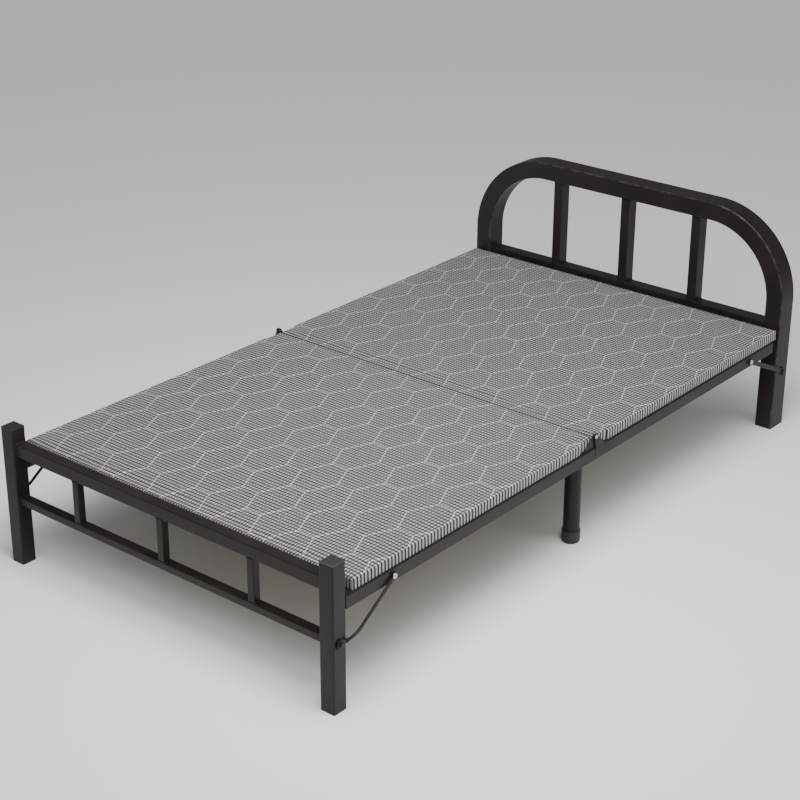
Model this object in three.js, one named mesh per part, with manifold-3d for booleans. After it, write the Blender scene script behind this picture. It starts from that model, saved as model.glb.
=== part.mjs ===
// A folding cot: a padded two-part deck on square-tube rails, an arched headboard, a low foot frame
// with short posts, and a pair of round legs under the middle.
// Millimetres, +Z up. The origin is on the floor under the middle of the cot, +Y points to the
// headboard and +X is the right side of a person who lies on it. Every pair is drawn on the right
// side and mirrored for the left.
//
// The deck folds upwards about two pins beside the pads, at the height of the pads' top faces.
// The headboard frame, the foot frame and the middle legs each turn under their half of the deck.
import * as THREE from "three";
import { mergeVertices } from "three/addons/utils/BufferGeometryUtils.js";
import Module from "manifold-3d";

const wasm = await Module();
wasm.setup();

// ---- Overall sizes -------------------------------------------------------------------------
const BED_LENGTH = 1900;
const BED_WIDTH = 1040;
const HEADBOARD_HEIGHT = 612;
const FOOT_POST_HEIGHT = 360;

// ---- Clearances ----------------------------------------------------------------------------
const TOUCH = 0.3; // between two pieces that are welded or seated on each other
const RUNNING = 0.4; // round a pin
const WALL = 1.5; // of every tube
const LAP = 1; // how far joined solids reach into each other, and a cutter past what it cuts

// ---- Headboard frame -----------------------------------------------------------------------
const ARCH_BAND = 50; // the tube's width seen from the foot end
const ARCH_DEPTH = 66; // the tube's depth along the cot
const ARCH_RADIUS = 244; // outer radius of the two top corners
const HEAD_CROSS_RAIL = { top: 311, height: 30, depth: 40 };
const SLAT = { count: 3, width: 28, depth: 40, spacing: 232 };
const SLAT_SETBACK = 6; // behind the arch's front face

// ---- Foot frame ----------------------------------------------------------------------------
const POST = 40;
const POST_CORNER = 3;
const FOOT_SETBACK = 8; // of the rails and bars behind the posts' front face
const FOOT_TOP_RAIL = { top: 320, height: 32, depth: 30 };
const FOOT_LOWER_RAIL = { top: 180, height: 20, depth: 25 };
const FOOT_BAR = { count: 3, size: 20, spacing: 277 };

// ---- Deck ----------------------------------------------------------------------------------
const RAIL = { top: 273, height: 32, width: 30, corner: 2.5 };
const HEAD_RAIL_GAP = 29; // from the head rails' ends to the headboard frame
const CROSS_TUBE = { size: 25, fromMiddle: 18, fromPost: 110 };
const HALF_GAP = 2; // between the two halves of the deck
const PAD = { fromSide: 3, thickness: 29.7, fromHeadboard: 8, fromFootPost: 25 };
const PAD_NOTCH = { past: 2, beside: 0.8 }; // room in the pads' corners for the hinge plates
const BOARD = { thickness: 9, margin: 10 };

// ---- Hinges --------------------------------------------------------------------------------
const EAR = { thickness: 3.7, radius: 6.5, foot: 46, slope: 0.8 };
const CENTRE_PIN = { radius: 3, headRadius: 5.2, head: 2.6, edge: 0.6 };
const LUG = { thickness: 5.4, radius: 12 };
const PIVOT_FROM_POST = 42; // inboard of the end frames' inner faces
const PIVOT_RIVET = { radius: 4, headRadius: 7.5, head: 2.4 };

// ---- Stays ---------------------------------------------------------------------------------
const STAY = { thickness: 4, lane: 1, eyeRadius: 8.5, hookRadius: 12, bar: 13, rod: 7 };
const STAY_PIVOT_FROM_POST = 152;
const STUD_HEIGHT = 168;
const STUD = { radius: 4, headRadius: 7, head: 2.9, edge: 1, play: 1.2 };
const STAY_RIVET = { radius: 3, headRadius: 7, head: 2.6 };
const ROD_BEND = { fromPost: 30, aboveStud: 6, lead: 25, inside: 8, run: 12 };
const ROD_FLAT = { length: 22, width: 9, overlap: 4 }; // where the rod is pressed flat for its hook
const NOTCH_TURN = 0.17; // radians that an end frame turns before its stud is out of the hook

// ---- Middle legs ---------------------------------------------------------------------------
const MIDDLE_LEG = { radius: 21, fromSide: 60, axle: 222, aboveAxle: 16 };
const AXLE_RADIUS = 12.5;
const BRACKET = { thickness: 5, fromSide: 120, rim: 8 };

// ---- Plastic ends --------------------------------------------------------------------------
const FOOT_TIP = { height: 4, plug: 18 };
const POST_CAP = { height: 4, plug: 14, chamfer: 3 };
const LEG_TIP = { wall: 2, floor: 5, height: 34, rounding: 7 };

// ---- Places worked out from the sizes ------------------------------------------------------
const side = BED_WIDTH / 2;
const headEnd = BED_LENGTH / 2;
const footEnd = -BED_LENGTH / 2;
const headInner = headEnd - ARCH_DEPTH;
const footInner = footEnd + POST;
const railMiddle = RAIL.top - RAIL.height / 2;
const railInner = side - RAIL.width;
const padBottom = RAIL.top + TOUCH;
const padTop = padBottom + PAD.thickness;
const padX = side - PAD.fromSide;
const foldHeight = padTop + RUNNING;
const innerEarFace = side - 2 * EAR.thickness - RUNNING;
const foldAxis = new THREE.Vector2(0, foldHeight);
const stayLane = side + STAY.lane;
const headPivot = new THREE.Vector2(headInner - PIVOT_FROM_POST, railMiddle);
const footPivot = new THREE.Vector2(footInner + PIVOT_FROM_POST, railMiddle);
const headStud = new THREE.Vector2(headInner + ARCH_DEPTH / 2, STUD_HEIGHT);
const footStud = new THREE.Vector2(footInner - POST / 2, STUD_HEIGHT);
const headStayPivot = new THREE.Vector2(headInner - STAY_PIVOT_FROM_POST, railMiddle);
const footStayPivot = new THREE.Vector2(footInner + STAY_PIVOT_FROM_POST, railMiddle);

// ---- Finishes ------------------------------------------------------------------------------
const finish = (color, roughness, metalness) => () =>
  new THREE.MeshStandardMaterial({ color, roughness, metalness });
const paint = finish(0x2b2625, 0.5, 0.35);
const zinc = finish(0xb9b9b6, 0.35, 0.9);
const plastic = finish(0x1d1c1c, 0.6, 0);
const plywood = finish(0xb58f5f, 0.7, 0);
const fabric = finish(0x77726f, 0.95, 0);

// ---- Solids --------------------------------------------------------------------------------
// A geometry as a solid that can be joined and cut.
function solid(geometry) {
  const bare = geometry.clone();
  bare.deleteAttribute("normal");
  bare.deleteAttribute("uv");
  const merged = mergeVertices(bare, 1e-4);
  return new wasm.Manifold(
    new wasm.Mesh({
      numProp: 3,
      vertProperties: merged.attributes.position.array,
      triVerts: new Uint32Array(merged.index.array),
    }),
  );
}

function geometryOf(body) {
  const mesh = body.getMesh();
  const geometry = new THREE.BufferGeometry();
  geometry.setAttribute("position", new THREE.BufferAttribute(mesh.vertProperties, 3));
  geometry.setIndex(new THREE.BufferAttribute(mesh.triVerts, 1));
  geometry.computeVertexNormals();
  return geometry;
}

const join = (...parts) => parts.map(solid).reduce((whole, part) => whole.add(part));
const cut = (body, ...tools) => tools.reduce((left, tool) => left.subtract(solid(tool)), body);

// ---- Outlines and extrusions ---------------------------------------------------------------
const ROUND = 4; // straight steps in each quarter of a small arc
const ARCH_STEPS = 14; // and of the headboard's corners
const CORNER_STEPS = 2; // and of a tube's corners
const PIN_STEPS = 12; // and all round a pin
const PIPE_STEPS = 24; // and all round a pipe
const ROD_STEPS = { along: 24, around: 5 }; // and of the bent rod

const extrude = (shape, depth, steps) =>
  new THREE.ExtrudeGeometry(shape, { depth, curveSegments: steps, bevelEnabled: false });

// An outline in Y and Z, extruded towards +X from x.
function sideView(shape, x, thickness, steps = 2 * ROUND) {
  const axes = new THREE.Matrix4().makeBasis(
    new THREE.Vector3(0, 1, 0),
    new THREE.Vector3(0, 0, 1),
    new THREE.Vector3(1, 0, 0),
  );
  return extrude(shape, thickness, steps).applyMatrix4(axes).translate(x, 0, 0);
}

// An outline in X and Z, extruded towards +Y from y.
function frontView(shape, y, depth, steps = ARCH_STEPS) {
  return extrude(shape, depth, steps).rotateX(Math.PI / 2).translate(0, y + depth, 0);
}

// An outline in X and Y, extruded upwards from z.
const planView = (shape, z, height, steps = ROUND) =>
  extrude(shape, height, steps).translate(0, 0, z);

function box(x, y, z) {
  const size = [x, y, z].map(([low, high]) => high - low);
  const middle = [x, y, z].map(([low, high]) => (low + high) / 2);
  return new THREE.BoxGeometry(...size).translate(...middle);
}

function roundedRectangle(width, height, radius) {
  const [x, y] = [width / 2 - radius, height / 2 - radius];
  return new THREE.Shape()
    .absarc(x, y, radius, 0, Math.PI / 2)
    .absarc(-x, y, radius, Math.PI / 2, Math.PI)
    .absarc(-x, -y, radius, Math.PI, 1.5 * Math.PI)
    .absarc(x, -y, radius, 1.5 * Math.PI, 2 * Math.PI);
}

const circle = (centre, radius) =>
  new THREE.Shape().absarc(centre.x, centre.y, radius, 0, 2 * Math.PI);

// A round bar along X, between two planes.
const barAlongX = (centre, radius, from, to, steps = 2 * ROUND) =>
  sideView(circle(centre, radius), from, to - from, steps);

// A box-section tube, open at both ends, its length along Z and centred on the origin.
function tube(width, depth, length, corner = RAIL.corner) {
  const section = roundedRectangle(width, depth, corner);
  section.holes.push(roundedRectangle(width - 2 * WALL, depth - 2 * WALL, corner - WALL / 2));
  return planView(section, -length / 2, length, CORNER_STEPS);
}

const tubeAlongX = (height, depth, length, corner) =>
  tube(height, depth, length, corner).rotateY(Math.PI / 2);
const tubeAlongY = (width, height, length, corner) =>
  tube(width, height, length, corner).rotateX(Math.PI / 2);

// A pin turned about the X axis: pairs of x and radius from its inner to its outer end.
function turned(steps, centre) {
  const ends = [[steps[0][0], 0], ...steps, [steps.at(-1)[0], 0]];
  const profile = ends.map(([x, radius]) => new THREE.Vector2(radius, x));
  return new THREE.LatheGeometry(profile, PIN_STEPS)
    .rotateZ(-Math.PI / 2)
    .translate(0, centre.x, centre.y);
}

// ---- The scene graph -----------------------------------------------------------------------
const cot = new THREE.Group();
const headHalf = new THREE.Group();
const footHalf = new THREE.Group();
const headFrame = new THREE.Group();
const footFrame = new THREE.Group();
const middleLegs = new THREE.Group();
cot.add(headHalf, footHalf, headFrame, footFrame, middleLegs);

function single(group, name, geometry, material) {
  const mesh = new THREE.Mesh(geometry, material());
  mesh.name = name;
  group.add(mesh);
  return mesh;
}

function pair(group, name, geometry, material) {
  single(group, name + "_right", geometry, material);
  single(group, name + "_left", geometry, material).scale.x = -1;
}

// ---- Deck ----------------------------------------------------------------------------------
const halves = [
  {
    group: headHalf,
    name: "head",
    towards: 1,
    railEnd: headInner - HEAD_RAIL_GAP,
    padEnd: headInner - PAD.fromHeadboard,
    inner: headInner,
    pivot: headPivot,
    stayPivot: headStayPivot,
    earFace: side - EAR.thickness,
  },
  {
    group: footHalf,
    name: "foot",
    towards: -1,
    railEnd: footInner + TOUCH,
    padEnd: footInner + PAD.fromFootPost,
    inner: footInner,
    pivot: footPivot,
    stayPivot: footStayPivot,
    earFace: innerEarFace,
  },
];

const span = (a, b) => [Math.min(a, b), Math.max(a, b)];

// The plate that stands on a rail's top and carries the fold's pin.
function ear({ towards, earFace }) {
  const shape = new THREE.Shape();
  const root = RAIL.top - WALL / 2;
  const start = towards > 0 ? -Math.PI : 0;
  shape.moveTo(towards * EAR.foot, root);
  shape.lineTo(towards * (EAR.foot - 2 * EAR.radius), root + EAR.radius);
  shape.lineTo(
    towards * EAR.radius * Math.sin(EAR.slope),
    foldHeight + EAR.radius * Math.cos(EAR.slope),
  );
  shape.absarc(0, foldHeight, EAR.radius, Math.PI / 2 - towards * EAR.slope, start, towards < 0);
  shape.lineTo(towards * HALF_GAP, root);
  return sideView(shape, earFace, EAR.thickness);
}

// The lower corner of a rail that the turning end frame would sweep.
function sweptCorner({ towards, pivot, inner }) {
  const reach = Math.abs(inner - pivot.x);
  const quarter = box(
    [railInner - LAP, side + LAP],
    span(pivot.x, inner + towards * LAP),
    [railMiddle - RAIL.height, railMiddle],
  );
  const kept = barAlongX(
    pivot,
    reach - TOUCH,
    railInner - 2 * LAP,
    side + 2 * LAP,
    PIPE_STEPS,
  );
  return geometryOf(cut(solid(quarter), kept));
}

for (const half of halves) {
  const { group, name, towards, railEnd, padEnd, pivot, stayPivot } = half;
  const nearMiddle = (towards * HALF_GAP) / 2;

  const rail = tubeAlongY(RAIL.width, RAIL.height, Math.abs(railEnd - nearMiddle)).translate(
    side - RAIL.width / 2,
    (railEnd + nearMiddle) / 2,
    railMiddle,
  );
  const drilled = cut(
    join(rail, ear(half)),
    barAlongX(pivot, PIVOT_RIVET.radius + RUNNING, railInner - LAP, railInner + 2 * WALL),
    barAlongX(stayPivot, STAY_RIVET.radius + RUNNING, side - 2 * WALL, side + LAP),
    barAlongX(foldAxis, CENTRE_PIN.radius + RUNNING, railInner, side + LAP),
    sweptCorner(half),
  );
  pair(group, name + "_rail", geometryOf(drilled), paint);

  const first = towards * (HALF_GAP / 2 + CROSS_TUBE.fromMiddle + CROSS_TUBE.size / 2);
  const last = half.inner - towards * CROSS_TUBE.fromPost;
  [first, (first + last) / 2, last].forEach((y, i) => {
    const length = 2 * (railInner - TOUCH);
    const crossTube = tubeAlongX(CROSS_TUBE.size, CROSS_TUBE.size, length);
    single(group, name + "_cross_tube_" + (i + 1), crossTube, paint).position.set(
      0,
      y,
      RAIL.top - CROSS_TUBE.size / 2,
    );
  });

  const padY = span(nearMiddle, padEnd);
  const boardX = padX - BOARD.margin;
  const boardY = [padY[0] + BOARD.margin, padY[1] - BOARD.margin];
  const boardTop = padBottom + BOARD.thickness;
  const board = box([-boardX, boardX], boardY, [padBottom, boardTop]);
  single(group, name + "_deck_board", board, plywood);

  const block = box([-padX, padX], padY, [padBottom, padTop]);
  const pocket = box(
    [-boardX - TOUCH, boardX + TOUCH],
    [boardY[0] - TOUCH, boardY[1] + TOUCH],
    [padBottom - LAP, boardTop + TOUCH],
  );
  const notchX = innerEarFace - PAD_NOTCH.beside;
  const notchY = EAR.foot + PAD_NOTCH.past;
  const notches = [-1, 1].map((mirror) =>
    box(span(mirror * notchX, mirror * side), [-notchY, notchY], [padBottom - LAP, padTop + LAP]),
  );
  single(group, name + "_pad", geometryOf(cut(solid(block), pocket, ...notches)), fabric);

  const inside = railInner + WALL + TOUCH;
  const lugFace = railInner - 2 * TOUCH - LUG.thickness;
  const pivotRivet = turned(
    [
      [lugFace - TOUCH - PIVOT_RIVET.head, PIVOT_RIVET.headRadius],
      [lugFace - TOUCH, PIVOT_RIVET.headRadius],
      [lugFace - TOUCH, PIVOT_RIVET.radius],
      [inside, PIVOT_RIVET.radius],
      [inside, PIVOT_RIVET.headRadius],
      [inside + PIVOT_RIVET.head, PIVOT_RIVET.headRadius],
    ],
    pivot,
  );
  pair(group, name + "_pivot_rivet", pivotRivet, zinc);

  const stayOuter = stayLane + STAY.thickness + TOUCH;
  const stayRivet = turned(
    [
      [side - WALL - TOUCH - STAY_RIVET.head / 2, 2 * STAY_RIVET.radius],
      [side - WALL - TOUCH, 2 * STAY_RIVET.radius],
      [side - WALL - TOUCH, STAY_RIVET.radius],
      [stayOuter, STAY_RIVET.radius],
      [stayOuter, STAY_RIVET.headRadius],
      [stayOuter + STAY_RIVET.head / 2, STAY_RIVET.headRadius],
      [stayOuter + STAY_RIVET.head, STAY_RIVET.headRadius / 2],
    ],
    stayPivot,
  );
  pair(group, name + "_stay_rivet", stayRivet, zinc);
}

// The pins of the fold, each through a pair of ears, flush inside and headed outside.
const centrePin = turned(
  [
    [halves[1].earFace + TOUCH, CENTRE_PIN.radius],
    [side + TOUCH, CENTRE_PIN.radius],
    [side + TOUCH, CENTRE_PIN.headRadius],
    [side + CENTRE_PIN.head - CENTRE_PIN.edge, CENTRE_PIN.headRadius],
    [side + CENTRE_PIN.head, CENTRE_PIN.headRadius - 2 * CENTRE_PIN.edge],
  ],
  foldAxis,
);
pair(headHalf, "centre_pin", centrePin, zinc);

// ---- Hinge lugs, studs and stays -----------------------------------------------------------
// A lug stands on the inner face of an end frame and reaches in to the pivot.
function lug(pivot, inner) {
  const towards = Math.sign(inner - pivot.x);
  const shape = new THREE.Shape();
  const half = Math.PI / 2;
  shape.absarc(pivot.x, pivot.y, LUG.radius, towards * half, -towards * half, false);
  shape.lineTo(inner - towards * TOUCH, pivot.y - towards * LUG.radius);
  shape.lineTo(inner - towards * TOUCH, pivot.y + towards * LUG.radius);
  shape.holes.push(circle(pivot, PIVOT_RIVET.radius + RUNNING));
  return sideView(shape, railInner - 2 * TOUCH - LUG.thickness, LUG.thickness);
}

function stud(centre) {
  const head = stayLane + STAY.thickness + 2 * TOUCH;
  return turned(
    [
      [side + TOUCH, STUD.radius],
      [head, STUD.radius],
      [head, STUD.headRadius],
      [head + STUD.head - STUD.edge, STUD.headRadius],
      [head + STUD.head, STUD.headRadius - STUD.edge],
    ],
    centre,
  );
}

// The notch that a stay rests on its stud with: round over the stud, straight down on the tip's
// side, and on the pivot's side sloped along the way that the stud leaves when the frame folds.
function notch(eye, hook, framePivot) {
  const along = hook.clone().sub(eye).normalize();
  const up = new THREE.Vector2(-along.y, along.x).multiplyScalar(Math.sign(along.x));
  const left = hook.clone().rotateAround(framePivot, -Math.sign(along.x) * NOTCH_TURN);
  const leaving = left.sub(hook).normalize();
  const radius = STUD.radius + STUD.play;
  const reach = 2.5 * STAY.hookRadius;
  const rim = [];
  for (let i = 0; i <= 2 * ROUND; i++) {
    const turn = (Math.PI * i) / (2 * ROUND);
    const point = hook.clone().addScaledVector(along, radius * Math.cos(turn));
    rim.push(point.addScaledVector(up, radius * Math.sin(turn)));
  }
  rim.push(rim.at(-1).clone().addScaledVector(leaving, reach));
  rim.push(rim[0].clone().addScaledVector(up, -reach));
  return sideView(new THREE.Shape(rim), stayLane - LAP, STAY.thickness + STAY.rod);
}

function finishStay(eye, hook, framePivot, ...bars) {
  const plate = (centre, radius) =>
    barAlongX(centre, radius, stayLane, stayLane + STAY.thickness, 4 * ROUND);
  const whole = join(plate(eye, STAY.eyeRadius), plate(hook, STAY.hookRadius), ...bars);
  const eyeHole = barAlongX(
    eye,
    STAY_RIVET.radius + RUNNING,
    stayLane - LAP,
    stayLane + STAY.thickness + LAP,
  );
  return geometryOf(cut(whole, eyeHole, notch(eye, hook, framePivot)));
}

function flatBar(from, to, width) {
  const along = to.clone().sub(from).normalize();
  const half = new THREE.Vector2(-along.y, along.x).multiplyScalar(width / 2);
  const corners = [from, to, to, from].map((end, i) =>
    i < 2 ? end.clone().sub(half) : end.clone().add(half),
  );
  return sideView(new THREE.Shape(corners), stayLane, STAY.thickness);
}

// A flat strip, straight from its eye to its hook.
function stripStay(eye, hook, framePivot) {
  return finishStay(eye, hook, framePivot, flatBar(eye, hook, STAY.bar));
}

// A round rod, straight from its eye, bent level before its hook and flat from there, so that the
// stud's head passes beside it.
function rodStay(eye, hook, framePivot) {
  const towards = Math.sign(hook.x - eye.x);
  const x = stayLane + STAY.rod / 2;
  const bend = new THREE.Vector2(
    footInner - towards * ROD_BEND.fromPost,
    hook.y + ROD_BEND.aboveStud,
  );
  const near = (from, to, distance) =>
    from.clone().add(to.clone().sub(from).setLength(distance));
  const route = [
    near(eye, bend, STAY.eyeRadius - LAP),
    near(bend, eye, ROD_BEND.lead),
    near(bend, eye, ROD_BEND.inside),
    near(bend, hook, ROD_BEND.run),
    near(hook, bend, ROD_FLAT.length - ROD_FLAT.overlap),
  ];
  const curve = new THREE.CatmullRomCurve3(
    route.map(({ x: y, y: z }) => new THREE.Vector3(x, y, z)),
    false,
    "centripetal",
  );
  const section = circle(new THREE.Vector2(), STAY.rod / 2);
  const rod = new THREE.ExtrudeGeometry(section, {
    steps: ROD_STEPS.along,
    curveSegments: ROD_STEPS.around,
    extrudePath: curve,
  });
  const flat = flatBar(hook, near(hook, bend, ROD_FLAT.length), ROD_FLAT.width);
  return finishStay(eye, hook, framePivot, rod, flat);
}

pair(headFrame, "head_hinge_lug", lug(headPivot, headInner), paint);
pair(footFrame, "foot_hinge_lug", lug(footPivot, footInner), paint);
pair(headFrame, "head_stay_stud", stud(headStud), paint);
pair(footFrame, "foot_stay_stud", stud(footStud), paint);
pair(headHalf, "head_stay", stripStay(headStayPivot, headStud, headPivot), paint);
pair(footHalf, "foot_stay", rodStay(footStayPivot, footStud, footPivot), paint);

// ---- Plastic ends of square tubes ----------------------------------------------------------
// A flange outside the tube's end at z, and a plug that reaches into it.
function tubeEnd(width, depth, corner, flange, plug) {
  const plugWall = 2 * (WALL + TOUCH);
  const outer = planView(roundedRectangle(width, depth, corner), ...flange, CORNER_STEPS);
  const inner = planView(
    roundedRectangle(width - plugWall, depth - plugWall, corner - WALL / 2),
    ...plug,
    CORNER_STEPS,
  );
  return join(outer, inner);
}

const footTip = (width, depth, corner) =>
  geometryOf(
    tubeEnd(width, depth, corner, [0, FOOT_TIP.height - TOUCH], [LAP, FOOT_TIP.plug]),
  );

// ---- Headboard frame -----------------------------------------------------------------------
// The arch's outline, drawn in by an inset, from a height up over the top and down again.
function archOutline(inset, from) {
  const x = side - inset;
  const radius = ARCH_RADIUS - inset;
  const z = HEADBOARD_HEIGHT - inset - radius;
  return new THREE.Shape()
    .moveTo(x, from)
    .lineTo(x, z)
    .absarc(x - radius, z, radius, 0, Math.PI / 2)
    .absarc(radius - x, z, radius, Math.PI / 2, Math.PI)
    .lineTo(-x, from);
}

const archBore = cut(
  solid(frontView(archOutline(WALL, 0), headInner + WALL, ARCH_DEPTH - 2 * WALL)),
  frontView(archOutline(ARCH_BAND - WALL, -LAP), headInner, ARCH_DEPTH),
);
const archSolid = cut(
  solid(frontView(archOutline(0, FOOT_TIP.height), headInner, ARCH_DEPTH)),
  frontView(archOutline(ARCH_BAND, 0), headInner - LAP, ARCH_DEPTH + 2 * LAP),
  geometryOf(archBore),
);
single(headFrame, "headboard_arch", geometryOf(archSolid), paint);

const slatY = headInner + SLAT_SETBACK + SLAT.depth / 2;
const headCrossRail = tubeAlongX(
  HEAD_CROSS_RAIL.height,
  HEAD_CROSS_RAIL.depth,
  2 * (side - ARCH_BAND - TOUCH),
);
single(headFrame, "headboard_cross_rail", headCrossRail, paint).position.set(
  0,
  headInner + SLAT_SETBACK + HEAD_CROSS_RAIL.depth / 2,
  HEAD_CROSS_RAIL.top - HEAD_CROSS_RAIL.height / 2,
);

// A row of upright tubes between two heights.
function uprights(group, name, { count, width, depth, spacing }, y, bottom, top) {
  for (let i = 0; i < count; i++) {
    const bar = tube(width, depth, top - bottom - 2 * TOUCH);
    single(group, name + "_" + (i + 1), bar, paint).position.set(
      (i - (count - 1) / 2) * spacing,
      y,
      (bottom + top) / 2,
    );
  }
}
const archUnderside = HEADBOARD_HEIGHT - ARCH_BAND;
uprights(headFrame, "headboard_slat", SLAT, slatY, HEAD_CROSS_RAIL.top, archUnderside);

const headTip = footTip(ARCH_BAND, ARCH_DEPTH, POST_CORNER).translate(
  side - ARCH_BAND / 2,
  headInner + ARCH_DEPTH / 2,
  0,
);
pair(headFrame, "head_foot_tip", headTip, plastic);

// ---- Foot frame ----------------------------------------------------------------------------
const postX = side - POST / 2;
const postY = footEnd + POST / 2;
const postLength = FOOT_POST_HEIGHT - FOOT_TIP.height - POST_CAP.height;
const post = tube(POST, POST, postLength, POST_CORNER).translate(
  postX,
  postY,
  FOOT_TIP.height + postLength / 2,
);
pair(footFrame, "foot_post", post, paint);
pair(footFrame, "foot_post_tip", footTip(POST, POST, POST_CORNER).translate(postX, postY, 0), plastic);

const capBottom = FOOT_POST_HEIGHT - POST_CAP.height + TOUCH;
const capFlange = FOOT_POST_HEIGHT - POST_CAP.chamfer / 2 - capBottom;
const corner = Math.SQRT1_2 * POST - POST_CORNER * (Math.SQRT2 - 1);
const capCrown = new THREE.CylinderGeometry(
  corner - POST_CAP.chamfer * Math.SQRT2,
  corner,
  POST_CAP.chamfer / 2,
  4,
)
  .rotateX(Math.PI / 2)
  .rotateZ(Math.PI / 4)
  .translate(0, 0, FOOT_POST_HEIGHT - POST_CAP.chamfer / 4);
const capBody = tubeEnd(
  POST,
  POST,
  POST_CORNER,
  [capBottom, capFlange],
  [capBottom - POST_CAP.plug, POST_CAP.plug + LAP],
);
const cap = geometryOf(capBody.add(solid(capCrown))).translate(postX, postY, 0);
pair(footFrame, "foot_post_cap", cap, plastic);

function footRail(name, { top, height, depth }) {
  const bar = tubeAlongX(height, depth, 2 * (side - POST - TOUCH));
  single(footFrame, name, bar, paint).position.set(
    0,
    footEnd + FOOT_SETBACK + depth / 2,
    top - height / 2,
  );
}
footRail("foot_top_rail", FOOT_TOP_RAIL);
footRail("foot_lower_rail", FOOT_LOWER_RAIL);
uprights(
  footFrame,
  "foot_bar",
  { ...FOOT_BAR, width: FOOT_BAR.size, depth: FOOT_BAR.size },
  footEnd + FOOT_SETBACK + FOOT_BAR.size / 2,
  FOOT_LOWER_RAIL.top,
  FOOT_TOP_RAIL.top - FOOT_TOP_RAIL.height,
);

// ---- Middle legs ---------------------------------------------------------------------------
const legX = side - MIDDLE_LEG.fromSide;
const legTop = MIDDLE_LEG.axle + MIDDLE_LEG.aboveAxle;
const legBottom = LEG_TIP.floor + TOUCH;
const axleAt = new THREE.Vector2(0, MIDDLE_LEG.axle);

const round = (radius, from, to) =>
  new THREE.CylinderGeometry(radius, radius, to - from, PIPE_STEPS)
    .rotateX(Math.PI / 2)
    .translate(0, 0, (from + to) / 2);

const legs = [-legX, legX];
const legFrame = cut(
  join(
    ...legs.map((x) => round(MIDDLE_LEG.radius, legBottom, legTop).translate(x, 0, 0)),
    barAlongX(axleAt, AXLE_RADIUS, -legX, legX, PIPE_STEPS),
  ),
  ...legs.map((x) => round(MIDDLE_LEG.radius - WALL, 0, legTop - WALL).translate(x, 0, 0)),
  barAlongX(axleAt, AXLE_RADIUS - WALL, -legX, legX, PIPE_STEPS),
);
single(middleLegs, "middle_leg_frame", geometryOf(legFrame), paint);

// A rubber cup over the leg's end, with a rounded foot.
function legTip() {
  const bore = MIDDLE_LEG.radius + TOUCH;
  const outer = bore + LEG_TIP.wall;
  const { rounding, floor, height } = LEG_TIP;
  const profile = [new THREE.Vector2(0, 0)];
  for (let i = 0; i <= ROUND; i++) {
    const turn = (Math.PI / 2) * (i / ROUND);
    const x = outer - rounding + rounding * Math.sin(turn);
    profile.push(new THREE.Vector2(x, rounding - rounding * Math.cos(turn)));
  }
  profile.push(new THREE.Vector2(outer, height));
  profile.push(new THREE.Vector2(bore, height));
  profile.push(new THREE.Vector2(bore, floor));
  profile.push(new THREE.Vector2(0, floor));
  return new THREE.LatheGeometry(profile, PIPE_STEPS).rotateX(Math.PI / 2).translate(legX, 0, 0);
}
pair(middleLegs, "middle_leg_tip", legTip(), plastic);

// A plate that hangs from the head half's first cross tube and holds the axle in its bore.
const firstTubeY = HALF_GAP / 2 + CROSS_TUBE.fromMiddle;
const bracketTop = RAIL.top - CROSS_TUBE.size - TOUCH;
const bracketRadius = AXLE_RADIUS + RUNNING + BRACKET.rim;
const bracketFaces = [side - BRACKET.fromSide, side - BRACKET.fromSide + BRACKET.thickness];
const bracketHanger = box(
  bracketFaces,
  [firstTubeY - CROSS_TUBE.size / 2, firstTubeY + CROSS_TUBE.size],
  [MIDDLE_LEG.axle - bracketRadius, bracketTop],
);
const bracketEye = barAlongX(axleAt, bracketRadius, ...bracketFaces, PIPE_STEPS);
const bracketBore = barAlongX(
  axleAt,
  AXLE_RADIUS + RUNNING,
  bracketFaces[0] - LAP,
  bracketFaces[1] + LAP,
  PIPE_STEPS,
);
const bracket = geometryOf(cut(join(bracketHanger, bracketEye), bracketBore));
pair(headHalf, "middle_leg_bracket", bracket, paint);

export default cot;
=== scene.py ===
"""Finished pieces of a folding cot, built round its fixed frame.

Metres, +Z up, the headboard towards +Y. Every piece lies in the frame's own coordinates and moves
with one of the frame's bodies.
"""

import math

import bmesh
import bpy
import numpy as np
from mathutils import Matrix, Vector


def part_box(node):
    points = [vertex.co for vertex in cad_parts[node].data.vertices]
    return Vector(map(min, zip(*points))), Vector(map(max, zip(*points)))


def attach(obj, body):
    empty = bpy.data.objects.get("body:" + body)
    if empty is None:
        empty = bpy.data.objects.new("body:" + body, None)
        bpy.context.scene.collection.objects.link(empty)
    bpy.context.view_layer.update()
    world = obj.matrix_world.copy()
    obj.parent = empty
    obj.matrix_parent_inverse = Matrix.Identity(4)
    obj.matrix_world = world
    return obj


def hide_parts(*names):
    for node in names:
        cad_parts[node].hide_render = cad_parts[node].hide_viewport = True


bl_info = {
    "name": "Folding Cot",
    "version": (1, 0, 0),
    "blender": (4, 5, 0),
    "location": "3D View > Sidebar > Cot",
    "description": "Builds the tubes, welds, rivets, boards and pads of a folding cot",
    "category": "Object",
}

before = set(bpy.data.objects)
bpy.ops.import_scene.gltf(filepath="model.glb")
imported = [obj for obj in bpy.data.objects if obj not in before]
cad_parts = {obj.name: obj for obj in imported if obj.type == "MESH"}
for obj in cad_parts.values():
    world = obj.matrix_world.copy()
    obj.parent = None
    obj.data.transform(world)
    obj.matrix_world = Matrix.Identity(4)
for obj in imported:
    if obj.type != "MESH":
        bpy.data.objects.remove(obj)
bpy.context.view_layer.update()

MERGE_DISTANCE = 1e-5
FLAT_ANGLE = math.radians(1)
SHARP_ANGLE = math.radians(35)
SIDES = ("right", "left")


# ---- Sizes and colours ---------------------------------------------------------------------
def length(name, description, default, **limits):
    return bpy.props.FloatProperty(
        name=name,
        description=description,
        default=default,
        unit="LENGTH",
        precision=4,
        min=0.0,
        **limits,
    )


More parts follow.
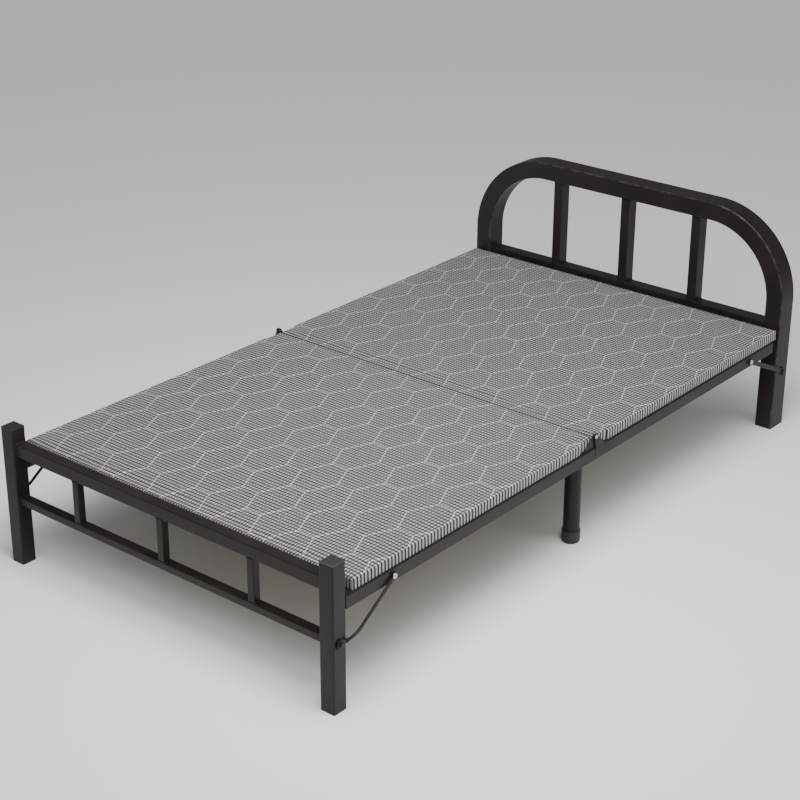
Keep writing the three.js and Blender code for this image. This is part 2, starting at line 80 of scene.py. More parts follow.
def colour(name, description, default):
    return bpy.props.FloatVectorProperty(
        name=name,
        description=description,
        default=default,
        subtype="COLOR",
        size=3,
        min=0.0,
        max=1.0,
    )


def share(name, description, default):
    return bpy.props.FloatProperty(
        name=name,
        description=description,
        default=default,
        subtype="FACTOR",
        min=0.0,
        max=1.0,
    )


# Sizes in metres that no user would change.
PAD_ROUNDING = 0.0032  # corners of the pad
LOWER_ROUNDING = 0.0012  # its lower corners, which are sharper
LOWER_ROW = 0.0016  # first row of points above them
POCKET_GAP = 0.0003  # between a board and the pad over it
HINGE_REACH = 0.0475  # how far the hinge plates run along the pad
HINGE_FACE = 0.5112  # where their inner faces stand
SEAM_SHADE, SEAM_FADE = 0.0044, 0.0012  # painted shade that darkens the gap between the pads
HONEYCOMB_START = (0.3525, -0.730)  # a row and a peak of the honeycomb
RIB_THREADS, COLUMN_THREADS = 4, 3  # fineness of the threads in each yarn


class CotMetal(bpy.types.PropertyGroup):
    """Sizes and colours of the painted tubes and their fastenings."""

    paint: colour("Paint", "Powder coat on every tube", (0.0135, 0.0106, 0.0094))
    worn: colour("Worn edge", "Paint rubbed thin along an edge", (0.085, 0.074, 0.068))
    gloss: share("Paint roughness", "Roughness of the powder coat", 0.36)
    zinc: colour("Zinc", "Plating on rivets and pins", (0.62, 0.61, 0.58))
    plastic: colour("Plastic", "Caps and tips", (0.0120, 0.0112, 0.0108))
    edge: length("Edge", "Rounding along a cut edge of a tube", 0.0005)
    arch_edge: length("Arch edge", "Rounding along the headboard tube", 0.0036)
    corner: length("Tube corner", "Corner radius of a square tube", 0.0026)
    bead: length("Weld bead", "Radius of a weld bead", 0.0019)
    ripple: length("Weld ripple", "Spacing of the ripples in a weld bead", 0.0026)


class CotPad(bpy.types.PropertyGroup):
    """Sizes and colours of the two pads and the boards under them."""

    light: colour("Light yarn", "Light yarn of the weave", (0.43, 0.415, 0.405))
    dark: colour("Dark yarn", "Dark yarn of the weave", (0.0105, 0.0098, 0.0096))
    figure: colour("Figure yarn", "Yarn of the honeycomb lines", (0.66, 0.645, 0.63))
    lining: colour("Lining", "Cloth under the pad", (0.018, 0.018, 0.019))
    rib: length("Rib spacing", "Spacing of the ribs that run across the pad", 0.01113)
    column: length("Column spacing", "Spacing of the yarns along the pad", 0.00839)
    relief: length("Rib relief", "How far a rib stands above the gap beside it", 0.0007)
    inset: length("Inset", "How much narrower each side starts than the pad", 0.0010)
    crown: length("Crown", "How far the top rises when the pad is filled", 0.0016)
    pressure: bpy.props.FloatProperty(
        name="Fill pressure",
        description="Pressure that fills the pad",
        default=4.0,
        min=0.0,
    )
    cell: length("Honeycomb length", "Length of a honeycomb cell along the pad", 0.145)
    row: length("Honeycomb row", "Distance between honeycomb rows", 0.0788)
    zigzag: length("Zigzag", "Half the height of a honeycomb line's zigzag", 0.0165)
    wood_pale: colour("Pale wood", "Early wood of the boards", (0.36, 0.30, 0.23))
    wood_dark: colour("Dark wood", "Late wood of the boards", (0.22, 0.17, 0.12))


class CotStudio(bpy.types.PropertyGroup):
    """Floor, lights and camera."""

    floor: colour("Floor", "Floor under the cot", (0.82, 0.82, 0.815))
    key: bpy.props.FloatProperty(
        name="Key light",
        description="Power of the large light on the right",
        default=78.0,
        unit="POWER",
    )
    fill: bpy.props.FloatProperty(
        name="Fill light",
        description="Power of the light at the foot end",
        default=22.0,
        unit="POWER",
    )
    sun: bpy.props.FloatProperty(
        name="Soft light",
        description="Strength of the wide light from above",
        default=1.5,
        min=0.0,
    )
    sky: share("Surround", "Brightness of the pale surround", 0.22)
    lens: bpy.props.FloatProperty(
        name="Lens",
        description="Focal length of the camera",
        default=84.25,
        unit="CAMERA",
    )


# ---- Node trees ----------------------------------------------------------------------------
def feed(tree, socket, value):
    """Links a socket, or sets its own value."""
    if isinstance(value, bpy.types.NodeSocket):
        tree.links.new(value, socket)
    elif value is not None:
        socket.default_value = value


def add(tree, kind, inputs=None, **settings):
    """A new node with its settings and inputs set, the inputs by name or by number."""
    node = tree.nodes.new(kind)
    for name, value in settings.items():
        setattr(node, name, value)
    for name, value in (inputs or {}).items():
        feed(tree, node.inputs[name], value)
    return node


def calc(tree, operation, *values):
    """The result of one step of arithmetic."""
    return add(tree, "ShaderNodeMath", dict(enumerate(values)), operation=operation).outputs[0]


def remap(tree, value, low, high, to_low=0.0, to_high=1.0):
    """A value's way from low to high, eased in and out, as a way from to_low to to_high."""
    inputs = {
        "Value": value,
        "From Min": low,
        "From Max": high,
        "To Min": to_low,
        "To Max": to_high,
    }
    return add(tree, "ShaderNodeMapRange", inputs, interpolation_type="SMOOTHSTEP").outputs[0]


def blend_colours(tree, factor, a, b):
    node = add(tree, "ShaderNodeMix", data_type="RGBA")
    feed(tree, node.inputs[0], factor)
    feed(tree, node.inputs[6], a)
    feed(tree, node.inputs[7], b)
    return node.outputs[2]


def rgba(three):
    return (*three, 1.0)


def noise(tree, place, scale, detail=2.0, rough=0.5):
    inputs = {"Vector": place, "Scale": scale, "Detail": detail, "Roughness": rough}
    return add(tree, "ShaderNodeTexNoise", inputs).outputs["Fac"]


def bump(tree, height, distance, strength=1.0, over=None):
    inputs = {"Height": height, "Distance": distance, "Strength": strength, "Normal": over}
    return add(tree, "ShaderNodeBump", inputs).outputs["Normal"]


def new_material(name):
    """An empty node material, its tree, its shader and the object's own coordinates."""
    material = bpy.data.materials.new(name)
    material.use_nodes = True
    tree = material.node_tree
    shader = tree.nodes["Principled BSDF"]
    place = add(tree, "ShaderNodeTexCoord").outputs["Object"]
    return material, tree, shader, place


def stretched(tree, place, scale):
    return add(tree, "ShaderNodeMapping", {"Vector": place, "Scale": scale}).outputs[0]


# ---- Materials -----------------------------------------------------------------------------
def powder_coat(metal):
    """Dark textured paint, rubbed a little thin along the edges."""
    material, tree, shader, place = new_material("Powder coat")
    cloud = noise(tree, place, 9.0, 4.0)
    grain = noise(tree, place, 620.0, 3.0, 0.6)
    peel = noise(tree, place, 240.0, 1.0)
    worn = add(tree, "ShaderNodeAttribute", attribute_name="worn_edge").outputs["Fac"]
    patch = remap(tree, noise(tree, place, 46.0, 5.0, 0.65), 0.42, 0.66)
    rubbed = calc(tree, "MULTIPLY", calc(tree, "MULTIPLY", worn, patch), 0.55)
    paint = blend_colours(
        tree,
        remap(tree, cloud, 0.3, 0.7),
        rgba([c * 0.86 for c in metal.paint]),
        rgba([c * 1.16 for c in metal.paint]),
    )
    feed(tree, shader.inputs["Base Color"], blend_colours(tree, rubbed, paint, rgba(metal.worn)))
    rough = calc(
        tree,
        "ADD",
        remap(tree, cloud, 0.25, 0.75, metal.gloss - 0.05, metal.gloss + 0.06),
        calc(tree, "MULTIPLY", grain, 0.06),
    )
    feed(tree, shader.inputs["Roughness"], rough)
    shader.inputs["Specular IOR Level"].default_value = 0.2
    skin = bump(tree, peel, 0.0004, 0.35)
    feed(tree, shader.inputs["Normal"], bump(tree, grain, 0.0002, 0.4, skin))
    return material


def zinc_plate(metal):
    """Bright plating with fine scuffs."""
    material, tree, shader, place = new_material("Zinc plate")
    mottle = noise(tree, place, 180.0, 4.0, 0.6)
    tint = blend_colours(
        tree,
        remap(tree, mottle, 0.35, 0.7),
        rgba([c * 0.78 for c in metal.zinc]),
        rgba(metal.zinc),
    )
    feed(tree, shader.inputs["Base Color"], tint)
    shader.inputs["Metallic"].default_value = 1.0
    scuff = noise(tree, stretched(tree, place, (900.0, 2600.0, 900.0)), 1.0, 3.0)
    feed(tree, shader.inputs["Roughness"], remap(tree, scuff, 0.25, 0.75, 0.24, 0.46))
    feed(tree, shader.inputs["Normal"], bump(tree, scuff, 0.0001, 0.35))
    return material


def moulded_plastic(metal):
    """Black plastic with a fine spark-eroded grain."""
    material, tree, shader, place = new_material("Moulded plastic")
    grain = noise(tree, place, 1400.0, 2.0, 0.6)
    cloud = noise(tree, place, 14.0, 3.0)
    tint = blend_colours(
        tree,
        cloud,
        rgba([c * 0.8 for c in metal.plastic]),
        rgba([c * 1.5 for c in metal.plastic]),
    )
    feed(tree, shader.inputs["Base Color"], tint)
    feed(tree, shader.inputs["Roughness"], remap(tree, grain, 0.2, 0.8, 0.46, 0.62))
    feed(tree, shader.inputs["Normal"], bump(tree, grain, 0.0002, 0.5))
    return material


def plywood(pad):
    """Sanded board with grain along the cot and plies at its edges."""
    material, tree, shader, place = new_material("Plywood")
    warp = noise(tree, stretched(tree, place, (5.0, 0.9, 30.0)), 1.0, 3.0)
    x, _, z = (
        add(tree, "ShaderNodeSeparateXYZ", {"Vector": place}).outputs[i] for i in range(3)
    )
    rings = calc(tree, "ADD", calc(tree, "MULTIPLY", x, 26.0), calc(tree, "MULTIPLY", warp, 9.0))
    grain = calc(tree, "ADD", calc(tree, "MULTIPLY", calc(tree, "SINE", rings), 0.5), 0.5)
    pores = noise(tree, stretched(tree, place, (900.0, 26.0, 900.0)), 1.0, 2.0)
    figure = calc(tree, "MULTIPLY", grain, remap(tree, pores, 0.3, 0.7, 0.55, 1.0))
    wood = blend_colours(tree, figure, rgba(pad.wood_pale), rgba(pad.wood_dark))
    plies = remap(tree, calc(tree, "SINE", calc(tree, "MULTIPLY", z, 4200.0)), -0.2, 0.2, 0.0, 0.3)
    edge = add(tree, "ShaderNodeAttribute", attribute_name="cut_edge").outputs["Fac"]
    shade = calc(tree, "MULTIPLY", plies, edge)
    feed(
        tree,
        shader.inputs["Base Color"],
        blend_colours(tree, shade, wood, rgba([c * 0.35 for c in pad.wood_dark])),
    )
    feed(tree, shader.inputs["Roughness"], remap(tree, pores, 0.2, 0.8, 0.52, 0.72))
    feed(tree, shader.inputs["Normal"], bump(tree, pores, 0.0004, 0.5))
    return material


def band(tree, coordinate, spacing, sharpness):
    """1 in the middle of each light yarn of a row of yarns, and 0 between them."""
    turn = calc(tree, "MULTIPLY", coordinate, 2 * math.pi / spacing)
    return remap(tree, calc(tree, "COSINE", turn), -sharpness, sharpness)


def honeycomb(tree, pad, x, y):
    """Three masks of the woven honeycomb: rising lines, falling lines and the ones across."""
    first_row, first_peak = HONEYCOMB_START
    place = calc(tree, "DIVIDE", calc(tree, "SUBTRACT", x, first_row), pad.row)
    row = calc(tree, "ROUND", place)
    above = calc(tree, "MULTIPLY", calc(tree, "SUBTRACT", place, row), pad.row)
    along = calc(tree, "DIVIDE", calc(tree, "SUBTRACT", y, first_peak), pad.cell)
    turn = calc(tree, "FRACT", calc(tree, "ADD", along, calc(tree, "MULTIPLY", row, 0.5)))
    from_trough = calc(tree, "ABSOLUTE", calc(tree, "SUBTRACT", turn, 0.5))
    wave = calc(tree, "SUBTRACT", calc(tree, "MULTIPLY", from_trough, 4.0), 1.0)
    line = calc(tree, "MULTIPLY", wave, pad.zigzag)
    off_line = calc(tree, "SUBTRACT", above, line)
    slope = math.cos(math.atan2(4 * pad.zigzag, pad.cell))
    off = calc(tree, "MULTIPLY", calc(tree, "ABSOLUTE", off_line), slope)
    rising = calc(tree, "GREATER_THAN", turn, 0.5)
    to_peak = calc(tree, "SUBTRACT", 0.5, from_trough)
    across = calc(
        tree,
        "ADD",
        calc(tree, "MULTIPLY", calc(tree, "GREATER_THAN", off_line, 0.0), to_peak),
        calc(tree, "MULTIPLY", calc(tree, "LESS_THAN", off_line, 0.0), from_trough),
    )
    across_off = calc(tree, "MULTIPLY", across, pad.cell)
    thick, thin = 0.0023, 0.0015
    return (
        calc(tree, "MULTIPLY", remap(tree, off, thick, thick * 0.5), rising),
        calc(
            tree,
            "MULTIPLY",
            remap(tree, off, thin, thin * 0.4),
            calc(tree, "SUBTRACT", 1.0, rising),
        ),
        remap(tree, across_off, thin * 1.25, thin * 0.5),
    )


def woven_fabric(pad, half_width):
    """Checked weave of light and dark yarns with a woven honeycomb figure, and painted shade along
    the seam between the pads.
    """
    material, tree, shader, place = new_material("Woven fabric")
    x, y, _ = (
        add(tree, "ShaderNodeSeparateXYZ", {"Vector": place}).outputs[i] for i in range(3)
    )
    wander = noise(tree, place, 7.0, 2.0)
    sway = calc(tree, "MULTIPLY", calc(tree, "SUBTRACT", wander, 0.5), 0.0012)
    edge = half_width - 0.004
    flat_x = calc(tree, "MAXIMUM", calc(tree, "MINIMUM", x, edge), -edge)
    ribs = band(tree, calc(tree, "ADD", calc(tree, "ADD", y, pad.rib / 2), sway), pad.rib, 0.75)
    columns = band(tree, calc(tree, "ADD", flat_x, sway), pad.column, 0.85)
    wall = add(tree, "ShaderNodeAttribute", attribute_name="long_side").outputs["Fac"]
    end = add(tree, "ShaderNodeAttribute", attribute_name="end_side").outputs["Fac"]
    gap = add(tree, "ShaderNodeAttribute", attribute_name="seam_end").outputs["Fac"]
    ribs_here = calc(
        tree,
        "ADD",
        calc(tree, "MULTIPLY", ribs, calc(tree, "SUBTRACT", 1.0, end)),
        calc(tree, "MULTIPLY", end, 0.5),
    )
    columns_here = calc(
        tree,
        "ADD",
        calc(tree, "MULTIPLY", columns, calc(tree, "SUBTRACT", 1.0, wall)),
        calc(tree, "MULTIPLY", wall, ribs),
    )
    weave = calc(
        tree,
        "ADD",
        calc(tree, "MULTIPLY", ribs_here, 0.55),
        calc(tree, "MULTIPLY", columns_here, 0.45),
    )
    threads = add(
        tree,
        "ShaderNodeTexWave",
        {"Vector": place, "Scale": RIB_THREADS / pad.rib, "Distortion": 0.3},
        bands_direction="Y",
    ).outputs["Fac"]
    strands = add(
        tree,
        "ShaderNodeTexWave",
        {"Vector": place, "Scale": COLUMN_THREADS / pad.column, "Distortion": 0.3},
        bands_direction="X",
    ).outputs["Fac"]
    fine = calc(tree, "MULTIPLY", calc(tree, "ADD", threads, strands), 0.5)
    flecks = noise(tree, stretched(tree, place, (160.0, 700.0, 160.0)), 1.0, 2.0)
    shade = calc(
        tree,
        "ADD",
        weave,
        calc(tree, "MULTIPLY", calc(tree, "SUBTRACT", flecks, 0.5), 0.34),
    )
    shade = calc(tree, "MULTIPLY", shade, remap(tree, fine, 0.0, 1.0, 0.82, 1.1))
    tone = calc(tree, "POWER", calc(tree, "MAXIMUM", shade, 0.0), 2.3)
    cloth = blend_colours(tree, tone, rgba(pad.dark), rgba(pad.light))
    rising, falling, across = honeycomb(tree, pad, x, y)
    dashes = calc(tree, "MULTIPLY", rising, remap(tree, ribs, 0.2, 0.8, 0.12, 1.0))
    lines = calc(
        tree,
        "MAXIMUM",
        dashes,
        calc(
            tree,
            "MAXIMUM",
            calc(tree, "MULTIPLY", falling, remap(tree, ribs, 0.2, 0.8, 0.4, 0.8)),
            calc(tree, "MULTIPLY", across, remap(tree, columns, 0.2, 0.8, 0.2, 0.5)),
        ),
    )
    on_top = calc(tree, "SUBTRACT", 1.0, calc(tree, "MAXIMUM", wall, end))
    figure = calc(
        tree,
        "MULTIPLY",
        calc(tree, "MULTIPLY", lines, on_top),
        remap(tree, flecks, 0.3, 0.6, 0.6, 1.0),
    )
    figured = blend_colours(tree, figure, cloth, rgba(pad.figure))
    # Painted shade: near the seam between the pads the cloth is mixed towards a darker dark yarn,
    # in dashes between the columns.
    painted_seam_shade = calc(tree, "MULTIPLY", gap, remap(tree, columns, 0.15, 0.6, 1.0, 0.7))
    feed(
        tree,
        shader.inputs["Base Color"],
        blend_colours(tree, painted_seam_shade, figured, rgba([c * 0.7 for c in pad.dark])),
    )
    feed(tree, shader.inputs["Roughness"], remap(tree, weave, 0.0, 1.0, 0.9, 0.7))
    shader.inputs["Sheen Weight"].default_value = 0.15
    shader.inputs["Sheen Roughness"].default_value = 0.4
    coarse = bump(tree, weave, 0.0010, 0.7)
    feed(tree, shader.inputs["Normal"], bump(tree, fine, 0.0004, 0.5, coarse))
    return material


def lining_cloth(pad):
    """Black felted cloth under the pad."""
    material, tree, shader, place = new_material("Lining cloth")
    felt = noise(tree, place, 900.0, 4.0, 0.7)
    cells = add(tree, "ShaderNodeTexVoronoi", {"Vector": place, "Scale": 420.0})
    dimple = cells.outputs["Distance"]
    shadow, light = (rgba([c * amount for c in pad.lining]) for amount in (0.6, 1.8))
    tint = blend_colours(tree, felt, shadow, light)
    feed(tree, shader.inputs["Base Color"], tint)
    shader.inputs["Roughness"].default_value = 0.95
    feed(tree, shader.inputs["Normal"], bump(tree, dimple, 0.0005, 0.6))
    return material


# ---- Meshes --------------------------------------------------------------------------------
def place_mesh(name, mesh, body=None, *materials):
    """A mesh as an object at the origin, which rides on a body if one is named."""
    mesh.name = name
    made = bpy.data.objects.new(name, mesh)
    bpy.context.scene.collection.objects.link(made)
    if materials:
        mesh.materials.clear()
        for material in materials:
            mesh.materials.append(material)
    if body:
        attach(made, body)
    return made


def finished(guide):
    """The mesh an object's modifiers make, as a plain mesh. The object is removed."""
    evaluated = guide.evaluated_get(bpy.context.evaluated_depsgraph_get())
    mesh = bpy.data.meshes.new_from_object(evaluated)
    bpy.data.objects.remove(guide)
    return mesh


def smooth(mesh, angle=SHARP_ANGLE):
    """Smooth shading up to an angle, with flat faces kept flat beside rounded edges."""
    mesh.shade_smooth()
    mesh.set_sharp_from_angle(angle=angle)
    guide = place_mesh(mesh.name, mesh)
    weighted = guide.modifiers.new("Even shading", "WEIGHTED_NORMAL")
    weighted.keep_sharp = True
    return finished(guide)


def clean_copy(node):
    """A copy of a frame node's solid, its doubles merged and its flat faces joined."""
    copy = bmesh.new()
    copy.from_mesh(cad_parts[node].data)
    bmesh.ops.remove_doubles(copy, verts=copy.verts, dist=MERGE_DISTANCE)
    bmesh.ops.dissolve_limit(
        copy, angle_limit=FLAT_ANGLE, verts=copy.verts, edges=copy.edges
    )
    return copy


def round_edges(copy, width, segments=2, which=None, mark="worn_edge"):
    """Rounds a solid's sharp edges and marks the faces along them."""
    layer = copy.faces.layers.float.get(mark) or copy.faces.layers.float.new(mark)
    edges = [
        e
        for e in copy.edges
        if e.is_manifold and e.calc_face_angle() > SHARP_ANGLE and (which is None or which(e))
    ]
    rounded = bmesh.ops.bevel(
        copy,
        geom=edges,
        offset=width,
        offset_type="OFFSET",
        segments=segments,
        profile=0.5,
        affect="EDGES",
        clamp_overlap=True,
    )
    for face in rounded["faces"]:
        face[layer] = 1.0
    return copy


def gather(name, copies, mark="worn_edge"):
    """Several solids as one mesh, with their marked faces."""
    points, faces, marks = [], [], []
    for copy in copies:
        start = len(points)
        copy.verts.index_update()
        layer = copy.faces.layers.float.get(mark)
        points += [v.co.copy() for v in copy.verts]
        for face in copy.faces:
            faces.append([start + v.index for v in face.verts])
            marks.append(face[layer] if layer else 0.0)
        copy.free()
    mesh = bpy.data.meshes.new(name)
    mesh.from_pydata(points, [], faces)
    mesh.attributes.new(mark, "FLOAT", "FACE").data.foreach_set("value", marks)
    return mesh


def box_of(node):
    return [np.array(corner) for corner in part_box(node)]


# ---- Geometry node trees -------------------------------------------------------------------
def new_tree(name, inputs):
    """A geometry tree with a geometry input and output and named inputs for its sizes."""
    tree = bpy.data.node_groups.new(name, "GeometryNodeTree")
    tree.interface.new_socket("Guide", in_out="INPUT", socket_type="NodeSocketGeometry")
    for label, (kind, default) in inputs.items():
        socket = tree.interface.new_socket(label, in_out="INPUT", socket_type="NodeSocket" + kind)
        socket.default_value = default
    tree.interface.new_socket("Mesh", in_out="OUTPUT", socket_type="NodeSocketGeometry")
    sockets = {s.name: s for s in add(tree, "NodeGroupInput").outputs}
    return tree, sockets


def close_tree(tree, geometry, material):
    """Ends a tree in plain geometry with its material."""
    plain = add(tree, "GeometryNodeRealizeInstances", {"Geometry": geometry}).outputs[0]
    inputs = {"Geometry": plain, "Material": material}
    coated = add(tree, "GeometryNodeSetMaterial", inputs).outputs[0]
    add(tree, "NodeGroupOutput", {"Mesh": coated})
    return tree


def grow(name, tree, points, edges=(), values=None, **sizes):
    """The plain mesh that a tree makes from guide points and lines."""
    mesh = bpy.data.meshes.new(name)
    mesh.from_pydata([Vector(p) for p in points], list(edges), [])
    for label, column in (values or {}).items():
        mesh.attributes.new(label, "FLOAT", "POINT").data.foreach_set("value", column)
    guide = place_mesh(name + "_guide", mesh)
    modifier = guide.modifiers.new("Grow", "NODES")
    modifier.node_group = tree
    keys = {
        item.name: item.identifier
        for item in tree.interface.items_tree
        if item.item_type == "SOCKET" and item.in_out == "INPUT"
    }
    for label, value in sizes.items():
        modifier[keys[label.replace("_", " ").capitalize()]] = value
    made = finished(guide)
    if not made.polygons:
        raise RuntimeError(f"{name}: its node tree made nothing")
    return made


def tube_tree(material):
    """A row of equal square tubes, one centred on each guide point."""
    tree, sockets = new_tree(
        "Square tubes",
        {
            "Width": ("Float", 0.02),
            "Depth": ("Float", 0.02),
            "Length": ("Float", 0.1),
            "Corner": ("Float", 0.002),
            "Corner steps": ("Int", 4),
            "Turn": ("Vector", (0.0, 0.0, 0.0)),
        },
    )
    section = add(
        tree,
        "GeometryNodeCurvePrimitiveQuadrilateral",
        {"Width": sockets["Width"], "Height": sockets["Depth"]},
    ).outputs[0]
    rounded = add(
        tree,
        "GeometryNodeFilletCurve",
        {"Curve": section, "Count": sockets["Corner steps"], "Radius": sockets["Corner"]},
        mode="POLY",
    ).outputs[0]
    half = calc(tree, "MULTIPLY", sockets["Length"], 0.5)
    low = add(tree, "ShaderNodeCombineXYZ", {"Z": calc(tree, "MULTIPLY", half, -1.0)}).outputs[0]
    high = add(tree, "ShaderNodeCombineXYZ", {"Z": half}).outputs[0]
    spine = add(tree, "GeometryNodeCurvePrimitiveLine", {"Start": low, "End": high}).outputs[0]
    tube = add(
        tree,
        "GeometryNodeCurveToMesh",
        {"Curve": spine, "Profile Curve": rounded, "Scale": 1.0, "Fill Caps": True},
    ).outputs[0]
    points = add(tree, "GeometryNodeMeshToPoints", {"Mesh": sockets["Guide"]}).outputs[0]
    turn = add(tree, "FunctionNodeEulerToRotation", {0: sockets["Turn"]}).outputs[0]
    row = add(
        tree,
        "GeometryNodeInstanceOnPoints",
        {"Points": points, "Instance": tube, "Rotation": turn},
    ).outputs[0]
    return close_tree(tree, row, material)


def turned_tree(material):
    """Pins and rivets: each guide line is an axis, and its points carry the radius there."""
    tree, sockets = new_tree("Turned pins", {"Sides": ("Int", 28), "Girth": ("Float", 1.0)})
    axis = add(tree, "GeometryNodeMeshToCurve", {"Mesh": sockets["Guide"]}).outputs[0]
    radius = add(
        tree, "GeometryNodeInputNamedAttribute", {"Name": "radius_here"}, data_type="FLOAT"
    ).outputs[0]
    ring = add(
        tree, "GeometryNodeCurvePrimitiveCircle", {"Resolution": sockets["Sides"], "Radius": 1.0}
    ).outputs[0]
    pin = add(
        tree,
        "GeometryNodeCurveToMesh",
        {
            "Curve": axis,
            "Profile Curve": ring,
            "Scale": calc(tree, "MULTIPLY", radius, sockets["Girth"]),
            "Fill Caps": True,
        },
    ).outputs[0]
    return close_tree(tree, pin, material)


def weld_tree(material):
    """A rippled bead of weld that follows each guide line."""
    tree, sockets = new_tree(
        "Weld beads",
        {
            "Bead": ("Float", 0.002),
            "Ripple": ("Float", 0.0026),
            "Unevenness": ("Float", 0.3),
            "Seed": ("Float", 3.0),
        },
    )
    line = add(tree, "GeometryNodeMeshToCurve", {"Mesh": sockets["Guide"]}).outputs[0]
    step = calc(tree, "DIVIDE", sockets["Ripple"], 2.0)
    fine = add(
        tree, "GeometryNodeResampleCurve", {"Curve": line, "Length": step}, mode="LENGTH"
    ).outputs[0]
    place = add(tree, "GeometryNodeInputPosition").outputs[0]
    blot = add(
        tree,
        "ShaderNodeTexNoise",
        {"Vector": place, "W": sockets["Seed"], "Scale": 160.0, "Detail": 1.0},
        noise_dimensions="4D",
    ).outputs["Fac"]
    index = add(tree, "GeometryNodeInputIndex").outputs[0]
    ridge = calc(tree, "MULTIPLY", calc(tree, "MODULO", index, 2.0), 0.24)
    uneven = calc(
        tree, "MULTIPLY", calc(tree, "SUBTRACT", blot, 0.5), sockets["Unevenness"]
    )
    girth = calc(tree, "ADD", calc(tree, "ADD", ridge, uneven), 0.86)
    ring = add(
        tree, "GeometryNodeCurvePrimitiveCircle", {"Resolution": 7, "Radius": 1.0}
    ).outputs[0]
    bead = add(
        tree,
        "GeometryNodeCurveToMesh",
        {
            "Curve": fine,
            "Profile Curve": ring,
            "Scale": calc(tree, "MULTIPLY", girth, sockets["Bead"]),
            "Fill Caps": True,
        },
    ).outputs[0]
    return close_tree(tree, bead, material)


# ---- Tubes ---------------------------------------------------------------------------------
ALONG_X = (0.0, math.pi / 2, 0.0)
UPRIGHT = (0.0, 0.0, 0.0)


def tube_row(name, nodes, body, tree, material, turn, corner):
    """Square tubes that stand for frame nodes of one size."""
    boxes = [box_of(node) for node in nodes]
    size = boxes[0][1] - boxes[0][0]
    if turn == ALONG_X:
        width, depth, reach = size[2], size[1], size[0]
    else:
        width, depth, reach = size[0], size[1], size[2]
    made = grow(
        name,
        tree,
        [(low + high) / 2 for low, high in boxes],
        width=float(width),
        depth=float(depth),
        length=float(reach),
        corner=corner,
        turn=turn,
    )
    row = place_mesh(name, smooth(made), body, material)
    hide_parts(*nodes)
    return row


def on_arch_outline(edge):
    """Whether an edge runs round the outer or inner outline of the headboard tube."""
    low, high = box_of("headboard_arch")
    ys = [v.co.y for v in edge.verts]
    level = abs(ys[0] - ys[1]) < MERGE_DISTANCE
    at_face = min(abs(ys[0] - low[1]), abs(ys[0] - high[1])) < MERGE_DISTANCE
    above_tip = max(v.co.z for v in edge.verts) > low[2] + MERGE_DISTANCE
    return level and at_face and above_tip


def metalwork(name, nodes, body, material, width, slot="frame_paint", **edges):
    """Frame nodes of any other shape, with rounded edges."""
    mesh = gather(name, [round_edges(clean_copy(node), width, **edges) for node in nodes])
    made = place_mesh(name, smooth(mesh), body, material)
    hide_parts(*nodes)
    return made


def pairs(*names):
    return [f"{name}_{side}" for name in names for side in SIDES]


# ---- Welds ---------------------------------------------------------------------------------
def ring_round(node, axis, end, corner):
    """Guide points round a tube where its end meets another, its corners cut."""
    low, high = box_of(node)
    at = (high if end > 0 else low)[axis]
    a, b = [i for i in range(3) if i != axis]
    corners = []
    for sa, sb in ((1, 1), (-1, 1), (-1, -1), (1, -1)):
        for cut_a, cut_b in ((corner, 0.0), (0.0, corner)) if sa * sb < 0 else (
            (0.0, corner),
            (corner, 0.0),
        ):
            point = np.zeros(3)
            point[axis] = at
            point[a] = (high[a] - cut_a) if sa > 0 else (low[a] + cut_a)
            point[b] = (high[b] - cut_b) if sb > 0 else (low[b] + cut_b)
            corners.append(point)
    return corners


def weld_piece(name, rings, body, tree, material, metal):
    points, edges = [], []
    for ring in rings:
        start = len(points)
        points += ring
        edges += [(start + i, start + (i + 1) % len(ring)) for i in range(len(ring))]
    made = grow(name, tree, points, edges, bead=metal.bead, ripple=metal.ripple)
    made.shade_smooth()
    bead = place_mesh(name, made, body, material)
    return bead


# ---- Pins and rivets -----------------------------------------------------------------------
def rounded_profile(steps, rounding=0.0004, arc=3):
    """A turned profile of (place along, radius) pairs, its outer corners rounded."""
    steps = np.array(steps, float)
    out = []
    for i, (at, radius) in enumerate(steps):
        before = steps[i - 1] if i else None
        after = steps[i + 1] if i + 1 < len(steps) else None
        if before is None or after is None:
            out.append((at, radius))
            continue
        to_before, to_after = before - steps[i], after - steps[i]
        reach = min(
            rounding, np.linalg.norm(to_before) / 2, np.linalg.norm(to_after) / 2
        )
        start = steps[i] + to_before / np.linalg.norm(to_before) * reach
        end = steps[i] + to_after / np.linalg.norm(to_after) * reach
        for t in np.linspace(0, 1, arc):
            point = (1 - t) ** 2 * start + 2 * t * (1 - t) * steps[i] + t * t * end
            out.append(tuple(point))
    tidy = [out[0]]
    for at, radius in out[1:]:  # a line needs each point a little further along than the last
        tidy.append((max(at, tidy[-1][0] + 2e-6), radius))
    return tidy


def turned_piece(name, nodes, profiles, body, tree, material):
    """Turned pins for frame nodes: a profile's places are measured outwards from x = 0."""
    points, edges, radii = [], [], []
    for node, profile in zip(nodes, profiles):
        low, high = box_of(node)
        middle = (low + high) / 2
        side = math.copysign(1.0, middle[0])
        start = len(points)
        steps = rounded_profile(profile)
        points += [(side * at, middle[1], middle[2]) for at, _ in steps]
        radii += [radius for _, radius in steps]
        edges += [(start + i, start + i + 1) for i in range(len(steps) - 1)]
    mesh = grow(name, tree, points, edges, {"radius_here": radii})
    copy = bmesh.new()
    copy.from_mesh(mesh)
    bmesh.ops.recalc_face_normals(copy, faces=copy.faces)
    copy.to_mesh(mesh)
    copy.free()
    mesh.shade_smooth()
    mesh.set_sharp_from_angle(angle=SHARP_ANGLE)
    made = place_mesh(name, mesh, body, material)
    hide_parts(*nodes)
    return made


def outward(node):
    """A node's least and greatest distance from the middle of the cot, and its largest radius."""
    low, high = box_of(node)
    reach = sorted((abs(low[0]), abs(high[0])))
    return reach[0], reach[1], (high[1] - low[1]) / 2


